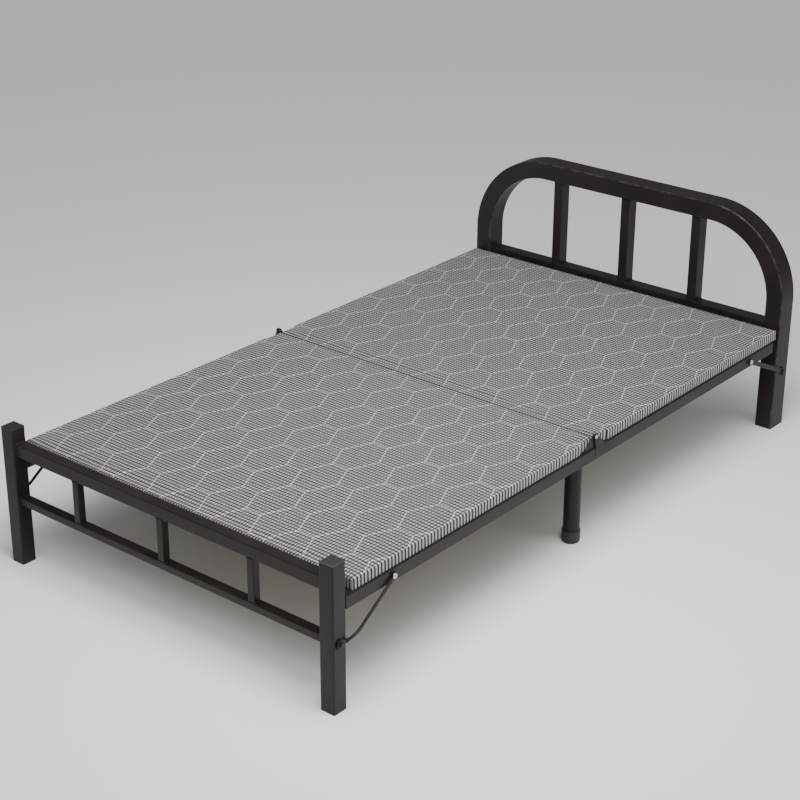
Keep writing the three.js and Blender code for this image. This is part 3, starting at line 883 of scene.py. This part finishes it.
def pivot_rivet_profile(node):
    near, far, head = outward(node)
    shank, thick, dome = 0.004, 0.0024, 0.0011
    return [
        (near, head * 0.45),
        (near + dome * 0.35, head * 0.82),
        (near + dome, head),
        (near + thick, head),
        (near + thick, shank),
        (far - thick, shank),
        (far - thick, head),
        (far - dome, head),
        (far - dome * 0.35, head * 0.82),
        (far, head * 0.45),
    ]


def stay_rivet_profile(node):
    near, far, head = outward(node)
    shank, shop_head = 0.003, 0.0013
    return [
        (near, head * 0.85),
        (near + shop_head, head * 0.85),
        (near + shop_head, shank),
        (far - 0.0026, shank),
        (far - 0.0026, head),
        (far - 0.0017, head * 0.97),
        (far - 0.0008, head * 0.80),
        (far - 0.0002, head * 0.46),
        (far, head * 0.16),
    ]


def centre_pin_profile(node):
    near, far, head = outward(node)
    return [
        (near, 0.0024),
        (near + 0.0006, 0.003),
        (far - 0.0023, 0.003),
        (far - 0.0023, head),
        (far - 0.0012, head),
        (far - 0.0004, head * 0.82),
        (far, head * 0.4),
    ]


def stud_profile(node):
    near, far, head = outward(node)
    shank, thick = 0.004, 0.0029
    return [
        (near, shank),
        (far - thick, shank),
        (far - thick, head),
        (far - 0.0010, head),
        (far - 0.0003, head * 0.86),
        (far, head * 0.55),
    ]


# ---- Pads ----------------------------------------------------------------------------------
def lattice_lines(low, high, spacing, offset, rounding):
    """Coordinates of a pad's grid lines along one axis: fine at both edges, even between."""
    edge = [0.0, 0.3 * rounding, 0.75 * rounding, 1.35 * rounding]
    first = math.ceil((low + 2.2 * rounding - offset) / spacing)
    last = math.floor((high - 2.2 * rounding - offset) / spacing)
    inner = [offset + spacing * i for i in range(first, last + 1)]
    return np.array([low + e for e in edge] + inner + [high - e for e in reversed(edge)])


def rounded_box_point(point, low, high, rounding):
    """A point on a box, moved onto the same box with rounded edges and corners."""
    core = np.minimum(np.maximum(point, low + rounding), high - rounding)
    way = point - core
    span = np.linalg.norm(way)
    return core + way * (rounding / span) if span > 1e-9 else point


def pad_shell(name, low, high, pad, rounding, pocket):
    """A closed box with rounded edges on a grid of quads, with a pocket under it for the board."""
    xs = lattice_lines(low[0], high[0], 0.0204, 0.0, rounding)
    ys = lattice_lines(low[1], high[1], pad.rib / 2, 0.0, rounding)
    zs = np.append(low[2], np.linspace(low[2] + LOWER_ROW, high[2], 6))
    board_low, board_high, ceiling = pocket
    for limit in (board_low, board_high):
        for lines, axis in ((xs, 0), (ys, 1)):
            inner = lines[4:-4]
            near = np.argmin(np.abs(inner - limit[axis]))
            inner[near] = limit[axis]
    nx, ny, nz = len(xs) - 1, len(ys) - 1, len(zs) - 1
    index, points = {}, []

    def vertex(i, j, k):
        key = (i, j, k)
        if key not in index:
            corner = LOWER_ROUNDING if k < 2 else rounding
            point = rounded_box_point(np.array([xs[i], ys[j], zs[k]]), low, high, corner)
            over_board = all(board_low[a] <= point[a] <= board_high[a] for a in (0, 1))
            if k == 0 and over_board:
                point[2] = ceiling
            index[key] = len(points)
            points.append(point)
        return index[key]

    faces = []

    def quad(*corners):
        faces.append([vertex(*corner) for corner in corners])

    for i in range(nx):
        for j in range(ny):
            quad((i, j, nz), (i + 1, j, nz), (i + 1, j + 1, nz), (i, j + 1, nz))
            quad((i, j, 0), (i, j + 1, 0), (i + 1, j + 1, 0), (i + 1, j, 0))
    for k in range(nz):
        for i in range(nx):
            quad((i, 0, k), (i + 1, 0, k), (i + 1, 0, k + 1), (i, 0, k + 1))
            quad((i, ny, k), (i, ny, k + 1), (i + 1, ny, k + 1), (i + 1, ny, k))
        for j in range(ny):
            quad((0, j, k), (0, j, k + 1), (0, j + 1, k + 1), (0, j + 1, k))
            quad((nx, j, k), (nx, j + 1, k), (nx, j + 1, k + 1), (nx, j, k + 1))
    mesh = bpy.data.meshes.new(name)
    mesh.from_pydata(points, [], faces)
    held = [v for (i, j, k), v in index.items() if k == 0]
    return mesh, held


def swell(cover, held, pressure, limit_across, limit_up):
    """Fills a pad by cloth simulation and keeps each point's move within limits."""
    group = cover.vertex_groups.new(name="held")
    group.add(held, 1.0, "REPLACE")
    cloth = cover.modifiers.new("Fill", "CLOTH")
    cloth.settings.quality = 4
    cloth.settings.mass = 0.3
    cloth.settings.tension_stiffness = 25.0
    cloth.settings.compression_stiffness = 25.0
    cloth.settings.bending_stiffness = 2.0
    cloth.settings.use_pressure = True
    cloth.settings.uniform_pressure_force = pressure
    cloth.settings.effector_weights.gravity = 0.0
    cloth.settings.vertex_group_mass = "held"
    cloth.point_cache.frame_start = 1
    cloth.point_cache.frame_end = 20
    for step in range(1, 21):
        bpy.context.scene.frame_set(step)
    evaluated = cover.evaluated_get(bpy.context.evaluated_depsgraph_get())
    count = len(cover.data.vertices)
    rest, full = np.zeros(count * 3), np.zeros(count * 3)
    cover.data.vertices.foreach_get("co", rest)
    evaluated.data.vertices.foreach_get("co", full)
    move = (full - rest).reshape(-1, 3)
    limits = np.array([limit_across, limit_across, limit_up])
    move = limits * np.tanh(move / limits)
    cover.modifiers.remove(cloth)
    bpy.context.scene.frame_set(1)
    cover.data.vertices.foreach_set("co", (rest.reshape(-1, 3) + move).ravel())
    cover.data.update()


def tuck_at_hinges(mesh, half_width, hinge_reach, hinge_face):
    """Presses the pad's sides in where the hinge plates stand beside it."""
    count = len(mesh.vertices)
    points = np.zeros(count * 3)
    mesh.vertices.foreach_get("co", points)
    points = points.reshape(-1, 3)
    soft, ease = 0.037, 0.014
    beside = np.clip((hinge_reach + ease - np.abs(points[:, 1])) / ease, 0, 1)
    beside = beside * beside * (3 - 2 * beside)
    outer = np.clip(np.abs(points[:, 0]) - (half_width - soft), 0, None)
    points[:, 0] -= np.sign(points[:, 0]) * outer * beside * (half_width - hinge_face) / soft
    mesh.vertices.foreach_set("co", points.ravel())
    mesh.update()


def raise_ribs(mesh, pad):
    """Lifts the ribs of the weave, marks which wall of the pad each point is on, and masks the
    painted shade along the seam between the pads.
    """
    count = len(mesh.vertices)
    points, normals = np.zeros(count * 3), np.zeros(count * 3)
    mesh.vertices.foreach_get("co", points)
    mesh.vertices.foreach_get("normal", normals)
    points, normals = points.reshape(-1, 3), normals.reshape(-1, 3)
    wave = -np.cos(2 * math.pi * points[:, 1] / pad.rib)
    up = np.clip(normals[:, 2] + 1, 0, 1)
    end = np.abs(normals[:, 1]) ** 2
    points += normals * ((wave - 1) / 2 * pad.relief * up * (1 - end))[:, None]
    mesh.vertices.foreach_set("co", points.ravel())
    # Mask of the painted shade along the seam between the pads: 1 at the seam, fading out away
    # from it.
    from_seam = np.clip((SEAM_SHADE - np.abs(points[:, 1])) / SEAM_FADE, 0, 1)
    mesh.attributes.new("seam_end", "FLOAT", "POINT").data.foreach_set("value", from_seam)
    for label, axis in (("long_side", 0), ("end_side", 1)):
        amount = np.clip((np.abs(normals[:, axis]) - 0.45) / 0.3, 0, 1)
        mesh.attributes.new(label, "FLOAT", "POINT").data.foreach_set("value", amount)
    mesh.update()


def make_pad(name, node, board, body, pad, fabric, lining):
    low, high = box_of(node)
    half_width = high[0]
    inset = np.array([pad.inset, 0.4 * pad.inset, 0.0])
    low, high = low + inset, high - inset
    low[2] += 0.0004
    high[2] -= pad.crown
    board_low, board_high = box_of(board)
    pocket = (board_low, board_high, board_high[2] + POCKET_GAP)
    mesh, held = pad_shell(name, low, high, pad, PAD_ROUNDING, pocket)
    cover = place_mesh(name + "_cover", mesh)
    across, up = 0.4 * pad.inset, pad.crown - 0.0001
    swell(cover, held, pad.pressure, across, up)
    surface = cover.modifiers.new("Finer", "SUBSURF")
    surface.levels = surface.render_levels = 1
    made = finished(cover)
    tuck_at_hinges(made, half_width, HINGE_REACH, HINGE_FACE)
    raise_ribs(made, pad)
    made.shade_smooth()
    piece = place_mesh(name, made, body, fabric, lining)
    for face in made.polygons:
        face.material_index = 1 if face.normal.z < -0.7 else 0
    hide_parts(node)
    return piece


# ---- Operators -----------------------------------------------------------------------------
def material_named(name, make, *arguments):
    return bpy.data.materials.get(name) or make(*arguments)


def paint_of(scene):
    return material_named("Powder coat", powder_coat, scene.cot_metal)


class COT_OT_headboard(bpy.types.Operator):
    """Build the arched headboard frame"""

    bl_idname = "cot.headboard"
    bl_label = "Headboard"

    def execute(self, context):
        metal = context.scene.cot_metal
        paint = paint_of(context.scene)
        tree = tube_tree(paint)
        metalwork(
            "headboard_arch_tube",
            ["headboard_arch"],
            "head_frame",
            paint,
            metal.arch_edge,
            segments=4,
            which=on_arch_outline,
        )
        rail = ["headboard_cross_rail"]
        tube_row("headboard_rail_tube", rail, "head_frame", tree, paint, ALONG_X, metal.corner)
        slats = [f"headboard_slat_{i}" for i in (1, 2, 3)]
        tube_row("headboard_slats", slats, "head_frame", tree, paint, UPRIGHT, metal.corner)
        metalwork("head_lugs", pairs("head_hinge_lug"), "head_frame", paint, metal.edge)
        return {"FINISHED"}


class COT_OT_foot_frame(bpy.types.Operator):
    """Build the foot posts, rails and bars"""

    bl_idname = "cot.foot_frame"
    bl_label = "Foot frame"

    def execute(self, context):
        metal = context.scene.cot_metal
        paint = paint_of(context.scene)
        tree = tube_tree(paint)
        tube_row("foot_posts", pairs("foot_post"), "foot_frame", tree, paint, UPRIGHT, 0.0035)
        for name in ("foot_top", "foot_lower"):
            rail = [name + "_rail"]
            tube_row(name + "_tube", rail, "foot_frame", tree, paint, ALONG_X, metal.corner)
        bars = [f"foot_bar_{i}" for i in (1, 2, 3)]
        tube_row("foot_bars", bars, "foot_frame", tree, paint, UPRIGHT, metal.corner)
        metalwork("foot_lugs", pairs("foot_hinge_lug"), "foot_frame", paint, metal.edge)
        return {"FINISHED"}


class COT_OT_deck(bpy.types.Operator):
    """Build the side rails, cross tubes and brackets of both halves"""

    bl_idname = "cot.deck"
    bl_label = "Deck"

    def execute(self, context):
        metal = context.scene.cot_metal
        paint = paint_of(context.scene)
        tree = tube_tree(paint)
        for half in ("head", "foot"):
            body = f"{half}_half"
            metalwork(f"{half}_side_rails", pairs(f"{half}_rail"), body, paint, metal.edge)
            tubes = [f"{half}_cross_tube_{i}" for i in (1, 2, 3)]
            tube_row(f"{half}_cross_tubes", tubes, body, tree, paint, ALONG_X, metal.corner)
        metalwork("leg_brackets", pairs("middle_leg_bracket"), "head_half", paint, metal.edge)
        return {"FINISHED"}


class COT_OT_middle_legs(bpy.types.Operator):
    """Build the round middle legs and their axle"""

    bl_idname = "cot.middle_legs"
    bl_label = "Middle legs"

    def execute(self, context):
        metal = context.scene.cot_metal
        paint = paint_of(context.scene)
        metalwork("middle_leg_pipes", ["middle_leg_frame"], "middle_legs", paint, metal.edge)
        return {"FINISHED"}


class COT_OT_stays(bpy.types.Operator):
    """Build the four hook stays"""

    bl_idname = "cot.stays"
    bl_label = "Stays"

    def execute(self, context):
        metal = context.scene.cot_metal
        paint = paint_of(context.scene)
        for half in ("head", "foot"):
            for side in SIDES:
                node = f"{half}_stay_{side}"
                metalwork(f"{node}_hook", [node], f"{node}_swing", paint, metal.edge)
        return {"FINISHED"}


class COT_OT_plastic_ends(bpy.types.Operator):
    """Build the plastic caps and tips"""

    bl_idname = "cot.plastic_ends"
    bl_label = "Plastic ends"

    def execute(self, context):
        metal = context.scene.cot_metal
        plastic = material_named("Moulded plastic", moulded_plastic, metal)
        for name, nodes, body in (
            ("headboard_tips", pairs("head_foot_tip"), "head_frame"),
            ("foot_tips", pairs("foot_post_tip"), "foot_frame"),
            ("foot_caps", pairs("foot_post_cap"), "foot_frame"),
            ("middle_leg_cups", pairs("middle_leg_tip"), "middle_legs"),
        ):
            metalwork(name, nodes, body, plastic, 0.0007, slot="black_plastic")
        return {"FINISHED"}


class COT_OT_fastenings(bpy.types.Operator):
    """Build the rivets, pins and studs"""

    bl_idname = "cot.fastenings"
    bl_label = "Rivets, pins and studs"

    def execute(self, context):
        zinc = material_named("Zinc plate", zinc_plate, context.scene.cot_metal)
        paint = paint_of(context.scene)
        plated, painted = turned_tree(zinc), turned_tree(paint)
        for half in ("head", "foot"):
            nodes = pairs(f"{half}_pivot_rivet") + pairs(f"{half}_stay_rivet")
            makers = [pivot_rivet_profile] * 2 + [stay_rivet_profile] * 2
            if half == "head":
                nodes += pairs("centre_pin")
                makers += [centre_pin_profile] * 2
            profiles = [make(node) for make, node in zip(makers, nodes)]
            name, body = f"{half}_half_rivets", f"{half}_half"
            turned_piece(name, nodes, profiles, body, plated, zinc)
            studs = pairs(f"{half}_stay_stud")
            profiles = [stud_profile(node) for node in studs]
            name, body = f"{half}_studs", f"{half}_frame"
            turned_piece(name, studs, profiles, body, painted, paint)
        return {"FINISHED"}


class COT_OT_welds(bpy.types.Operator):
    """Run weld beads round the joints of the tubes"""

    bl_idname = "cot.welds"
    bl_label = "Welds"

    def execute(self, context):
        metal = context.scene.cot_metal
        paint = paint_of(context.scene)
        tree = weld_tree(paint)
        corner = metal.corner
        both = (1, -1)
        slats = [f"headboard_slat_{i}" for i in (1, 2, 3)]
        bars = [f"foot_bar_{i}" for i in (1, 2, 3)]
        head = [ring_round("headboard_cross_rail", 0, end, corner) for end in both]
        head += [ring_round(slat, 2, end, corner) for slat in slats for end in both]
        rails = ("foot_top_rail", "foot_lower_rail")
        foot = [ring_round(rail, 0, end, corner) for rail in rails for end in both]
        foot += [ring_round(bar, 2, end, corner) for bar in bars for end in both]
        weld_piece("headboard_welds", head, "head_frame", tree, paint, metal)
        weld_piece("foot_frame_welds", foot, "foot_frame", tree, paint, metal)
        for half in ("head", "foot"):
            tubes = [f"{half}_cross_tube_{i}" for i in (1, 2, 3)]
            rings = [ring_round(tube, 0, end, corner) for tube in tubes for end in both]
            for ring in rings:
                for point in ring:
                    point[2] = min(point[2], 0.2712)
            weld_piece(f"{half}_deck_welds", rings, f"{half}_half", tree, paint, metal)
        return {"FINISHED"}


class COT_OT_boards(bpy.types.Operator):
    """Build the plywood boards under the pads"""

    bl_idname = "cot.boards"
    bl_label = "Boards"

    def execute(self, context):
        wood = material_named("Plywood", plywood, context.scene.cot_pad)
        for half in ("head", "foot"):
            node = f"{half}_deck_board"
            copy = round_edges(clean_copy(node), 0.0006, mark="cut_edge")
            layer = copy.faces.layers.float["cut_edge"]
            for face in copy.faces:
                if abs(face.normal.z) < 0.5:
                    face[layer] = 1.0
            mesh = gather(f"{half}_board", [copy], mark="cut_edge")
            board = place_mesh(f"{half}_board", smooth(mesh), f"{half}_half", wood)
            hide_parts(node)
        return {"FINISHED"}


class COT_OT_pads(bpy.types.Operator):
    """Fill and finish the two pads"""

    bl_idname = "cot.pads"
    bl_label = "Pads"

    def execute(self, context):
        pad = context.scene.cot_pad
        half_width = float(box_of("head_pad")[1][0])
        fabric = material_named("Woven fabric", woven_fabric, pad, half_width)
        lining = material_named("Lining cloth", lining_cloth, pad)
        for half in ("head", "foot"):
            name, node, board = f"{half}_pad_cushion", f"{half}_pad", f"{half}_deck_board"
            make_pad(name, node, board, f"{half}_half", pad, fabric, lining)
        return {"FINISHED"}


def soft_light(name, place, aim, size, power, tint):
    data = bpy.data.lights.new(name, "AREA")
    data.shape = "RECTANGLE"
    data.size, data.size_y = size
    data.energy = power
    data.color = tint
    lamp = bpy.data.objects.new(name, data)
    bpy.context.scene.collection.objects.link(lamp)
    lamp.location = place
    lamp.rotation_mode = "QUATERNION"
    lamp.rotation_quaternion = (Vector(aim) - Vector(place)).to_track_quat("-Z", "Y")
    return lamp


class COT_OT_studio(bpy.types.Operator):
    """Lay the floor and place the lights and the camera"""

    bl_idname = "cot.studio"
    bl_label = "Studio"

    def execute(self, context):
        scene = context.scene
        studio = scene.cot_studio
        material, tree, shader, place = new_material("Pale floor")
        cloud = noise(tree, place, 0.7, 3.0)
        shaded = rgba([c * 0.985 for c in studio.floor])
        tint = blend_colours(tree, cloud, shaded, rgba(studio.floor))
        feed(tree, shader.inputs["Base Color"], tint)
        shader.inputs["Roughness"].default_value = 0.85
        floor = bpy.data.meshes.new("studio_floor")
        reach = 30.0
        corners = [(-reach, -reach, 0), (reach, -reach, 0), (reach, reach, 0), (-reach, reach, 0)]
        floor.from_pydata(corners, [], [(0, 1, 2, 3)])
        place_mesh("studio_floor", floor, None, material)

        key_from, key_to = (0.7, -0.85, 2.1), (0.1, 0.15, 0.3)
        fill_from, fill_to = (4.2, 0.6, 1.3), (0, 0, 0.3)
        warm, warmer = (1.0, 0.985, 0.97), (1.0, 0.98, 0.96)
        soft_light("Key light", key_from, key_to, (1.6, 1.2), studio.key, warm)
        soft_light("Fill light", fill_from, fill_to, (3.0, 1.6), studio.fill, warmer)
        overhead = bpy.data.lights.new("Wide light", "SUN")
        overhead.energy = studio.sun
        overhead.angle = math.radians(70)
        lamp = bpy.data.objects.new("Wide light", overhead)
        scene.collection.objects.link(lamp)
        lamp.rotation_mode = "QUATERNION"
        lamp.rotation_quaternion = Vector((-0.42, 0.30, -0.86)).to_track_quat("-Z", "Y")
        world = bpy.data.worlds.new("Pale surround")
        world.use_nodes = True
        background = world.node_tree.nodes["Background"]
        background.inputs["Color"].default_value = (1.0, 1.0, 1.0, 1.0)
        background.inputs["Strength"].default_value = studio.sky
        scene.world = world

        azimuth, elevation, roll = (math.radians(a) for a in (39.56, 24.52, 0.20))
        back = Vector(
            (
                math.sin(azimuth) * math.cos(elevation),
                -math.cos(azimuth) * math.cos(elevation),
                math.sin(elevation),
            )
        )
        data = bpy.data.cameras.new("Camera")
        data.sensor_width = 36.0
        data.lens = studio.lens
        data.clip_end = 200.0
        camera = bpy.data.objects.new("Camera", data)
        scene.collection.objects.link(camera)
        level = (-back).to_track_quat("-Z", "Y").to_matrix()
        turned = level @ Matrix.Rotation(roll, 3, "Z")
        camera.matrix_world = Matrix.Translation((2.7291, -3.4116, 2.2395)) @ turned.to_4x4()
        scene.camera = camera
        return {"FINISHED"}


BUILDERS = (
    COT_OT_headboard,
    COT_OT_foot_frame,
    COT_OT_deck,
    COT_OT_middle_legs,
    COT_OT_stays,
    COT_OT_plastic_ends,
    COT_OT_fastenings,
    COT_OT_welds,
    COT_OT_boards,
    COT_OT_pads,
    COT_OT_studio,
)


class COT_PT_panel(bpy.types.Panel):
    """Sizes, colours and builders of the folding cot"""

    bl_idname = "COT_PT_panel"
    bl_label = "Folding Cot"
    bl_space_type = "VIEW_3D"
    bl_region_type = "UI"
    bl_category = "Cot"

    def draw(self, context):
        layout = self.layout
        for group in (context.scene.cot_metal, context.scene.cot_pad, context.scene.cot_studio):
            box = layout.box()
            for name in group.__annotations__:
                box.prop(group, name)
        for builder in BUILDERS:
            layout.operator(builder.bl_idname)


CLASSES = (CotMetal, CotPad, CotStudio, *BUILDERS, COT_PT_panel)


def register():
    for kind in CLASSES:
        bpy.utils.register_class(kind)
    bpy.types.Scene.cot_metal = bpy.props.PointerProperty(type=CotMetal)
    bpy.types.Scene.cot_pad = bpy.props.PointerProperty(type=CotPad)
    bpy.types.Scene.cot_studio = bpy.props.PointerProperty(type=CotStudio)


def unregister():
    del bpy.types.Scene.cot_metal, bpy.types.Scene.cot_pad, bpy.types.Scene.cot_studio
    for kind in reversed(CLASSES):
        bpy.utils.unregister_class(kind)


def main():
    register()
    for builder in BUILDERS:
        group, name = builder.bl_idname.split(".")
        getattr(getattr(bpy.ops, group), name)()


if __name__ == "__main__":
    main()
